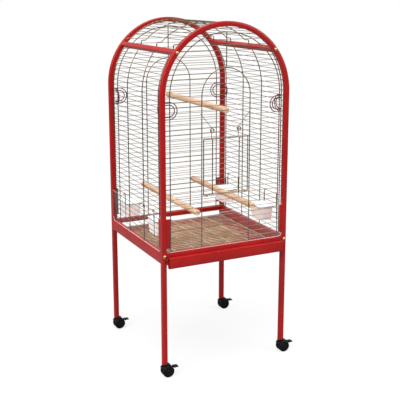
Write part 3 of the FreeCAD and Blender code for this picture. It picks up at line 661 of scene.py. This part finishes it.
def domed_nut(name, place, outward, radius, height):
    """A washer and a domed nut on a frame's face, extruded ring by ring from a disc."""
    washer = sizes().bolt_washer
    rim = radius * 0.14         # how far the washer stands out round the nut
    collar = height * 0.22      # straight part of the nut under its dome
    smallest = 0.05             # share of the dome's radius that is left as its flat top
    steps = 6
    bpy.ops.mesh.primitive_circle_add(vertices=28, radius=radius, fill_type="NGON", location=place,
                                      rotation=(outward * math.pi / 2, 0, 0))
    piece = settle(bpy.context.object, name)
    edit(piece)
    bpy.ops.mesh.select_all(action="SELECT")
    move_out((0, outward * washer, 0))
    bpy.ops.mesh.inset(thickness=rim)
    move_out((0, outward * collar, 0))
    centre = Vector(place)
    dome = height - washer - collar
    for step in range(1, steps + 1):
        before, after = ((step - 1) * math.pi / 2 / steps, step * math.pi / 2 / steps)
        move_out((0, outward * dome * (math.sin(after) - math.sin(before)), 0))
        shrink = max(math.cos(after), smallest) / math.cos(before)
        bpy.ops.transform.resize(value=(shrink, 1, shrink), center_override=centre)
    face_outward()
    leave()
    return piece


class CAGE_OT_bolts(bpy.types.Operator):
    """Build the domed nuts at the rail corners and the crossbars' ends"""
    bl_idname = "cage.bolts"
    bl_label = "Domed nuts"

    def execute(self, context):
        chosen = sizes()
        gold = material("Gold Caps")
        low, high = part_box("rail_bolts")
        face = chosen.post + chosen.tube / 2
        height = high.y - face
        radius = (high.z - low.z) / 2
        angle = chosen.crossbar_angle
        top = chosen.spring + chosen.post * math.sin(angle)
        places = {"rail_bolts": (chosen.post, (low.z + high.z) / 2),
                  "crossbar_bolts": (chosen.post * math.cos(angle), top)}
        for node, (x, z) in places.items():
            nuts = []
            for side in (-1, 1):
                for outward in (-1, 1):
                    nuts.append(domed_nut(node + "_nuts", (side * x, outward * face, z), outward,
                                          radius, height))
            choose(*nuts)
            bpy.ops.object.join()
            fit_on(nuts[0], gold, "gold_caps", node)
        return {"FINISHED"}


# ---- wires ----

def rows():
    """Heights of the thin wires of the front and rear panels."""
    chosen = sizes()
    number = int((chosen.spring + chosen.post - chosen.tube / 2 - chosen.thick_wire - chosen.rail_top)
                 / chosen.row_pitch)
    return [chosen.rail_top + row * chosen.row_pitch for row in range(1, number + 1)]


def end_crossings(side):
    """Where thin and thick wires cross in the front or rear panel."""
    chosen = sizes()
    y = side * (chosen.post + chosen.thick_wire / 2)
    places = []
    for z in rows():
        above = z - chosen.spring
        for radius in (chosen.outline_radius, chosen.inner_radius):
            if above < radius - chosen.thick_wire:
                x = math.sqrt(radius ** 2 - max(above, 0) ** 2)
                places += [Vector((-x, y, z)), Vector((x, y, z))]
        if chosen.inner_radius < above < chosen.outline_radius:
            places.append(Vector((0, y, z)))
    return places


def ribs():
    return [(number - 1.5) * sizes().rib_spread for number in range(4)]


def on_arch(radius, angle, side, y):
    return Vector((side * radius * math.cos(angle), y, sizes().spring + radius * math.sin(angle)))


def side_crossings(side):
    """Where thin and thick wires cross in a side panel."""
    chosen = sizes()
    contact = chosen.post - chosen.thick_wire / 2
    row_radius = contact - chosen.thin_wire / 2
    highest = chosen.crossbar_angle - math.asin((chosen.tube / 2 + chosen.thin_wire) / row_radius)
    places = []
    row = 1
    while chosen.rail_top + row * chosen.row_pitch - chosen.spring < row_radius * highest:
        above = chosen.rail_top + row * chosen.row_pitch - chosen.spring
        for y in ribs():
            places.append(on_arch(contact, max(above, 0) / row_radius, side, y)
                          + Vector((0, 0, min(above, 0))))
        row += 1
    return places


def roof_crossings():
    """Where thin and thick wires cross in the roof panel."""
    chosen = sizes()
    contact = chosen.post + chosen.thick_wire / 2
    step = chosen.row_pitch / (contact + chosen.thin_wire / 2)
    straight_feet = 0.03        # height of the panel's feet, where no row crosses
    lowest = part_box("roof_wire_panel")[0].z + straight_feet
    number = 0
    while on_arch(contact, math.pi / 2 - (number + 1) * step, 1, 0).z > lowest:
        number += 1
    return [on_arch(contact, math.pi / 2 + turn * step, 1, y)
            for turn in range(-number, number + 1) for y in ribs()]


def door_crossings():
    """Where the door's rows cross its uprights."""
    chosen = sizes()
    low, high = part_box("door")
    y = -chosen.post - chosen.thick_wire / 2
    edge = high.x - chosen.thick_wire / 2
    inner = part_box("door_catch_right")[0].x + chosen.coil / 2
    bare_top = 0.015            # under the catches, where no row is welded
    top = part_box("door_catch_left")[0].z - bare_top
    return [Vector((side * x, y, z)) for z in rows() if low.z < z < top
            for x in (edge, inner) for side in (-1, 1)]


def grid_crossings():
    """Where the floor grid's rows lie on its long wires."""
    chosen = sizes()
    low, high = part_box("floor_grid")
    half = high.x - chosen.thick_wire / 2
    each_side = 3               # long wires on each side of the middle one
    number = int((high.y - low.y - chosen.thick_wire) / chosen.row_pitch)
    start = (low.y + high.y) / 2 - number * chosen.row_pitch / 2
    z = low.z + chosen.thick_wire
    return [Vector((-half + column * half / each_side, start + row * chosen.row_pitch, z))
            for column in range(2 * each_side + 1) for row in range(number + 1)]


def weld_beads(name, places, body):
    """Small fused beads where wires cross."""
    bpy.ops.mesh.primitive_ico_sphere_add(subdivisions=2, radius=sizes().weld)
    bead = settle(bpy.context.object, name + "_bead")
    edit(bead, "VERT")
    bpy.ops.mesh.select_all(action="SELECT")
    bpy.ops.transform.resize(value=(1.0, 1.0, 0.8), center_override=(0, 0, 0))
    leave()
    piece = repeated(bead, [Matrix.Translation(place) for place in places], name)
    fit_on(piece, material("Brass Wire"), "brass_wire", body=body, smooth=80.0)


class CAGE_OT_wires(bpy.types.Operator):
    """Finish the wire panels, the corner rings and the floor grid, and weld their crossings"""
    bl_idname = "cage.wires"
    bl_label = "Wire panels"

    def execute(self, context):
        brass = material("Brass Wire")
        for node in ("front_wire_panel", "rear_wire_panel", "left_wire_panel", "right_wire_panel",
                     "roof_wire_panel", "door"):
            paint(node, brass)
        # The floor grid gets the paler brass, a painted sheen for its upward-facing wires.
        paint("floor_grid", material("Bright Brass"))
        paint("corner_rings", material("Maroon Wire"))
        for cup in CUPS:
            paint("cup_holder_" + cup, brass)
        for name, places, body in (
                ("front", end_crossings(-1), "cage"), ("rear", end_crossings(1), "cage"),
                ("left", side_crossings(-1), "cage"), ("right", side_crossings(1), "cage"),
                ("roof", roof_crossings(), "roof"), ("door", door_crossings(), "door"),
                ("grid", grid_crossings(), "grid")):
            weld_beads(name + "_welds", places, body)
        return {"FINISHED"}


def wire_along(name, points, diameter):
    """Round wire through points, as a closed mesh."""
    curve = bpy.data.curves.new(name, "CURVE")
    curve.dimensions = "3D"
    curve.bevel_depth = diameter / 2
    curve.bevel_resolution = 3
    curve.use_fill_caps = True
    spline = curve.splines.new("POLY")
    spline.points.add(len(points) - 1)
    for point, place in zip(spline.points, points):
        point.co = (*place, 1.0)
    piece = bpy.data.objects.new(name, curve)
    bpy.context.scene.collection.objects.link(piece)
    choose(piece)
    bpy.ops.object.convert(target="MESH")
    return piece


class CAGE_OT_catches(bpy.types.Operator):
    """Wind the two spring catches of the door, each with its long arm"""
    bl_idname = "cage.catches"
    bl_label = "Door catches"

    def execute(self, context):
        chosen = sizes()
        facets = 24                             # of one turn
        turns = chosen.coil_turns + 0.25        # the last quarter leads into the arm
        pitch = chosen.coil_wire * 1.06         # a hair of air between two turns
        tip_inset = 0.0008                      # from the frame's box to the middle of the arm's tip
        leg = 0.0025                            # straight end of the wire under the coil
        bend_share = 0.15                       # share of the arm before it straightens
        for name, side in SIDES.items():
            node = "door_catch_" + name
            low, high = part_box(node)
            middle_y = (low.y + high.y) / 2
            radius = (chosen.coil - chosen.coil_wire) / 2
            near, far = (low.x, high.x) if side > 0 else (high.x, low.x)
            start = Vector((near + side * chosen.coil / 2, middle_y, low.z + chosen.coil / 2))
            start += Vector((0, -pitch * turns / 2, 0))
            tip = Vector((far - side * tip_inset, middle_y, high.z - tip_inset))
            points = [start + Vector((side * leg, 0, radius))]
            for step in range(int(turns * facets) + 1):
                angle = math.pi / 2 + step / facets * 2 * math.pi
                points.append(start + Vector((side * radius * math.cos(angle), step / facets * pitch,
                                              radius * math.sin(angle))))
            points += [points[-1].lerp(tip, bend_share), tip]
            piece = wire_along(node + "_coil", points, chosen.coil_wire)
            fit_on(piece, material("Spring Wire"), "spring_wire", node)
        return {"FINISHED"}


# ---- sheet, plates and moulded pieces ----

class CAGE_OT_guards(bpy.types.Operator):
    """Build the clear seed guards and finish the angles that hold them"""
    bl_idname = "cage.guards"
    bl_label = "Seed guards"

    def execute(self, context):
        clear, edge = material("Clear Acrylic"), material("Acrylic Edge")
        for name in ("front", "right", "rear", "left"):
            node = "seed_guard_" + name
            piece = eased(node, node + "_plate", "seed_guard")
            across = 1 if name in ("front", "rear") else 0
            piece.data.materials.append(clear)
            piece.data.materials.append(edge)
            # Faces across the plate stay clear; the edge faces take the pale material, a painted edge
            # highlight.
            for face in piece.data.polygons:
                face.material_index = 0 if abs(face.normal[across]) > 0.95 else 1
            fit_on(piece, clear, "clear_acrylic", node)
        brackets = eased("guard_brackets", "guard_bracket_angles", "guard_brackets")
        fit_on(brackets, material("Red Lacquer"), "red_lacquer", "guard_brackets")
        clips = eased("door_hinge_clips", "door_hinge_straps", "door_hinge_clips")
        fit_on(clips, material("Brass Clips"), "brass_clips", "door_hinge_clips")
        return {"FINISHED"}


class CAGE_OT_perches(bpy.types.Operator):
    """Build the wooden perches with eased ends"""
    bl_idname = "cage.perches"
    bl_label = "Perches"

    def execute(self, context):
        wood = material("Beech")
        for name in ("centre", "left", "right"):
            node = "perch_" + name
            fit_on(eased(node, node + "_dowel", "perch", 2, 50.0), wood, "perch_wood", node)
        return {"FINISHED"}


class CAGE_OT_cups(bpy.types.Operator):
    """Build the feeding cups with rounded lips"""
    bl_idname = "cage.cups"
    bl_label = "Feeding cups"

    def execute(self, context):
        white = material("White Plastic")
        for name in CUPS:
            node = "cup_" + name
            fit_on(eased(node, node + "_shell", "cup", 3), white, "white_plastic", node)
        return {"FINISHED"}


class CAGE_OT_drawer(bpy.types.Operator):
    """Build the folded drawer tray with rounded folds, and finish its runners"""
    bl_idname = "cage.drawer"
    bl_label = "Drawer"

    def execute(self, context):
        red = material("Red Lacquer")
        tray = merged_copy("drawer_tray", "drawer_tray_sheet")
        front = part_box("drawer_tray")[0].y
        fold_length = 0.1       # the folds are longer than this, the sheet's other front edges shorter
        edit(tray, "EDGE")
        pick(tray, "edges", lambda edge: edge.calc_length() > fold_length
             and all(abs(vertex.co.y - front) < 0.0001 for vertex in edge.verts))
        bpy.ops.mesh.bevel(offset=sizes().fold, segments=3, affect="EDGES")
        leave()
        fit_on(tray, red, "red_lacquer", "drawer_tray")
        runners = eased("drawer_runners", "drawer_runner_bars", "drawer_runners")
        fit_on(runners, red, "red_lacquer", "drawer_runners")
        return {"FINISHED"}


def bed_height(x, y, low, high):
    """Depth of the bedding at a point: uneven, and thinning out along an irregular edge."""
    def wave(scale, height, layer):
        return height * noise.noise(Vector((x * scale, y * scale, layer)))

    bare_edge, slope = 0.008, 0.018         # metres along the drawer's sides
    mean = 0.70                             # share of the frame's depth
    wander = wave(22, 0.016, 1.7) + wave(70, 0.007, 4.1)
    reach = min(x - low.x, high.x - x, y - low.y, high.y - y) + wander - bare_edge
    share = max(0.0, min(1.0, reach / slope))
    share = share * share * (3 - 2 * share)
    lumps = mean + wave(40, 0.22, 0.0) + wave(160, 0.20, 9.0)
    return (high.z - low.z) * share * lumps


class CAGE_OT_bedding(bpy.types.Operator):
    """Spread the bedding in the drawer, with loose chips on it"""
    bl_idname = "cage.bedding"
    bl_label = "Bedding"

    def execute(self, context):
        chosen = sizes()
        low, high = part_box("bedding")
        span = high - low
        thinnest = 0.0004           # where the bed is thinner than this, the tray is bare
        base = 0.0001               # from the tray up to the bed's underside
        bpy.ops.mesh.primitive_grid_add(x_subdivisions=150, y_subdivisions=160, size=1.0,
                                        location=((low.x + high.x) / 2, (low.y + high.y) / 2, low.z),
                                        scale=(span.x, span.y, 1.0))
        bed = settle(bpy.context.object, "bedding_bed")
        edit(bed, "VERT")
        for vertex in bmesh.from_edit_mesh(bed.data).verts:
            vertex.co.z = low.z + bed_height(vertex.co.x, vertex.co.y, low, high)
        pick(bed, "verts", lambda vertex: vertex.co.z < low.z + thinnest)
        bpy.ops.mesh.delete(type="VERT")
        bpy.ops.mesh.select_mode(type="FACE")
        bpy.ops.mesh.select_all(action="SELECT")
        move_out((0, 0, -base))
        for vertex in bmesh.from_edit_mesh(bed.data).verts:
            if vertex.select:
                vertex.co.z = low.z + base
        face_outward()
        leave()
        fit_on(bed, material("Bedding Bed"), "bedding", "bedding", smooth=60.0)

        width, thickness = 0.0042, 0.0009       # of a chip
        curl, taper = 16.0, 60.0                # lift towards both ends, narrowing towards one
        bpy.ops.mesh.primitive_cube_add(size=1.0, scale=(chosen.chip_length, width, thickness))
        chip = settle(bpy.context.object, "chip")
        edit(chip, "EDGE")
        pick(chip, "edges", lambda edge: abs((edge.verts[0].co - edge.verts[1].co).x) > 0.005)
        bpy.ops.mesh.subdivide(number_cuts=2)
        for vertex in bmesh.from_edit_mesh(chip.data).verts:
            vertex.co.z += curl * vertex.co.x ** 2
            vertex.co.y *= 1.0 - taper * max(vertex.co.x, 0.0)
        leave()
        thin_bed, left_out = 0.0015, 0.93       # on a thinner bed, this share of the chips is left out
        tilt = 0.16                             # spread of a chip's lean, in radians
        chance = random.Random(7)
        places = []
        while len(places) < chosen.bedding_chips:
            x, y = chance.uniform(low.x, high.x), chance.uniform(low.y, high.y)
            depth = bed_height(x, y, low, high)
            if depth < thin_bed and chance.random() < left_out:
                continue
            turn = Euler((chance.gauss(0, tilt), chance.gauss(0, tilt), chance.uniform(0, 2 * math.pi)))
            grow = chance.uniform(0.45, 1.15)
            place = Matrix.Translation((x, y, low.z + depth + thickness)) @ turn.to_matrix().to_4x4()
            places.append(place @ Matrix.Diagonal((grow, grow, 1.0, 1.0)))
        chips = repeated(chip, places, "bedding_chips")
        fit_on(chips, material("Bedding Chips"), "bedding", body="drawer", smooth=30.0)
        return {"FINISHED"}


# ---- casters ----

def wheel(name, centre, side, radius):
    """One wheel, extruded from its inner face out to the tread and in again to the hub."""
    chosen = sizes()
    width = chosen.wheel_width
    ease = 0.0028               # rounding on both sides of the tread
    start = centre + Vector((0, side * chosen.axle_gap, 0))
    bpy.ops.mesh.primitive_circle_add(vertices=56, radius=radius - ease, fill_type="NGON",
                                      location=start, rotation=(side * math.pi / 2, 0, 0))
    piece = settle(bpy.context.object, name)
    edit(piece)
    bpy.ops.mesh.select_all(action="SELECT")

    def ring(out, size):
        """Extrude outward and resize the ring about the axle."""
        move_out((0, side * out, 0))
        bpy.ops.transform.resize(value=(size, 1, size), center_override=centre)

    # Rings of the tread: the step outward, and the share of the easing taken off the radius.
    before = radius - ease
    for out, share in ((0.0, 0.25), (ease * 0.75, 0.0), (width - ease * 2, 0.0),
                       (ease * 0.5, 0.15), (ease * 0.5, 0.5), (ease * 0.25, 1.0)):
        after = radius - ease * share
        ring(out, after / before)
        before = after
    # Rings of the outer face, from the rim over the dish to the hub: inset, step and resize.
    for inset, out, size in ((0.0022, -0.0013, 0.985), (0.0095, 0.0005, 0.97), (0.0030, 0.0006, 0.9)):
        bpy.ops.mesh.inset(thickness=inset)
        ring(out, size)
    face_outward()
    leave()
    return piece


class CAGE_OT_casters(bpy.types.Operator):
    """Build the twin-wheel casters: forks with hoods, wheels, brake levers and leg plugs"""
    bl_idname = "cage.casters"
    bl_label = "Casters"

    def execute(self, context):
        black, tread = material("Black Plastic"), material("Wheel Plastic")
        first = CORNERS[0]
        low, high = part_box("caster_wheels_" + first)
        centre, radius = (low + high) / 2, (high.z - low.z) / 2
        wheels = [wheel("caster_wheels_pair", centre, side, radius) for side in (-1, 1)]
        axle_radius = 0.003
        bpy.ops.mesh.primitive_cylinder_add(vertices=24, radius=axle_radius, depth=2 * sizes().axle_gap,
                                            location=centre, rotation=(math.pi / 2, 0, 0))
        axle = settle(bpy.context.object, "caster_axle")
        choose(wheels[0], wheels[1], axle)
        bpy.ops.object.join()
        pair = wheels[0]
        fork = eased("caster_fork_" + first, "caster_fork_shape", "caster_fork", 2, 50.0)
        lever = eased("caster_lever_" + first, "caster_lever_shape", "caster_lever", 2, 50.0)
        for corner in CORNERS:
            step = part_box("caster_wheels_" + corner)[0] - low
            for kind, shape, finish, slot in (("wheels", pair, tread, "wheel_plastic"),
                                              ("fork", fork, black, "black_plastic"),
                                              ("lever", lever, black, "black_plastic")):
                node = "caster_" + kind + "_" + corner
                fit_on(copied(shape, node + "_moulding", step), finish, slot, node)
        for shape in (pair, fork, lever):
            bpy.data.objects.remove(shape)
        plugs = eased("leg_plugs", "leg_plug_mouldings", "leg_plugs", 2, 50.0)
        fit_on(plugs, black, "black_plastic", "leg_plugs")
        return {"FINISHED"}


# ---- stage ----

def soft_light(name, place, aim, size, power):
    bpy.ops.object.light_add(type="AREA", location=place)
    light = bpy.context.object
    light.name = name
    light.data.shape = "DISK"
    light.data.size = size
    light.data.energy = power
    light.rotation_euler = (Vector(aim) - Vector(place)).to_track_quat("-Z", "Y").to_euler()


def studio(ceiling, walls):
    """A white backdrop, in a room that is bright overhead and dim at eye level."""
    world = bpy.data.worlds.new("Studio")
    world.use_nodes = True
    tree = world.node_tree
    backdrop = tree.nodes["Background"]
    feed(tree, backdrop, {"Color": (1, 1, 1, 1)})
    place = add(tree, "ShaderNodeTexCoord", -900, -200)
    split = add(tree, "ShaderNodeSeparateXYZ", -700, -200, {"Vector": place.outputs["Generated"]})
    room = add(tree, "ShaderNodeBackground", -200, -200, {
        "Strength": spread(tree, -450, -200, split.outputs["Z"], 0.1, 0.75, walls, ceiling)})
    for_camera(tree, backdrop.outputs[0], room.outputs[0], "World Output")
    return world


class CAGE_OT_stage(bpy.types.Operator):
    """Lay the pale floor and set the camera and the studio lights"""
    bl_idname = "cage.stage"
    bl_label = "Stage"

    def execute(self, context):
        stage = context.scene.cage_stage
        choose()
        bpy.ops.mesh.primitive_circle_add(vertices=96, radius=stage.floor, fill_type="NGON",
                                          location=(0, 0, -0.0002))
        floor = settle(bpy.context.object, "studio_floor")
        # The camera sees a white floor that partly lights itself. Every other ray meets a dim grey
        # one, or the light thrown back from below would wash out the lacquer.
        paper, tree, bsdf, place = shader("Pale Floor")
        cloud = textured(tree, "Noise", -600, 0, place, Scale=3.0, Detail=4.0)
        greys = [(grey, grey, grey, 1) for grey in (0.15, 0.17, stage.bounce)]
        feed(tree, bsdf, {"Base Color": mixed(tree, -300, 0, cloud.outputs["Fac"], *greys[:2]),
                          "Roughness": 0.9, "Specular IOR Level": 0.1,
                          "Emission Color": (1, 1, 1, 1), "Emission Strength": stage.glow})
        dim = add(tree, "ShaderNodeBsdfDiffuse", 0, -500, {"Color": greys[2]})
        for_camera(tree, bsdf.outputs[0], dim.outputs[0], "Material Output")
        floor.data.materials.append(paper)
        context.scene.world = studio(stage.ceiling, stage.walls)
        context.scene.view_settings.view_transform = "Standard"
        bpy.ops.object.light_add(type="SUN", location=(0, 0, 4), rotation=(0.25, -0.2, 0))
        bpy.context.object.name = "overhead_light"
        bpy.context.object.data.energy = stage.overhead
        bpy.context.object.data.angle = math.radians(70)
        soft_light("key_light", place=(-3.4, -1.6, 2.6), aim=(0, 0, 0.9), size=2.2, power=stage.key)
        soft_light("fill_light", place=(2.6, -2.8, 2.2), aim=(0, 0, 0.8), size=2.0, power=stage.fill)

        camera = bpy.data.cameras.new("Camera")
        camera.lens = stage.lens
        camera.shift_y = stage.rise
        camera.clip_end = 100.0
        eye = bpy.data.objects.new("Camera", camera)
        eye.location = stage.eye
        eye.rotation_euler = (math.pi / 2 - stage.pitch, 0, stage.azimuth)
        context.scene.collection.objects.link(eye)
        context.scene.camera = eye
        return {"FINISHED"}


# ---- panel and run ----

STEPS = (CAGE_OT_finishes, CAGE_OT_tubes, CAGE_OT_bolts, CAGE_OT_wires, CAGE_OT_catches, CAGE_OT_guards,
         CAGE_OT_perches, CAGE_OT_cups, CAGE_OT_drawer, CAGE_OT_bedding, CAGE_OT_casters, CAGE_OT_stage)
GROUPS = {"cage_sizes": CageSizes, "cage_colours": CageColours, "cage_stage": CageStage}


class CAGE_PT_panel(bpy.types.Panel):
    """Sizes, colours and one button for each group of pieces"""
    bl_idname = "CAGE_PT_panel"
    bl_label = "Bird Cage"
    bl_space_type = "VIEW_3D"
    bl_region_type = "UI"
    bl_category = "Bird Cage"

    def draw(self, context):
        for name, kind in GROUPS.items():
            box = self.layout.box()
            for key in kind.__annotations__:
                box.prop(getattr(context.scene, name), key)
        for step in STEPS:
            self.layout.operator(step.bl_idname)


def register():
    for kind in (*GROUPS.values(), *STEPS, CAGE_PT_panel):
        bpy.utils.register_class(kind)
    for name, kind in GROUPS.items():
        setattr(bpy.types.Scene, name, bpy.props.PointerProperty(type=kind))


def unregister():
    for name in GROUPS:
        delattr(bpy.types.Scene, name)
    for kind in reversed((*GROUPS.values(), *STEPS, CAGE_PT_panel)):
        bpy.utils.unregister_class(kind)


def main():
    register()
    choose()
    for step in STEPS:
        getattr(bpy.ops.cage, step.bl_idname.split(".")[1])()


if __name__ == "__main__":
    main()
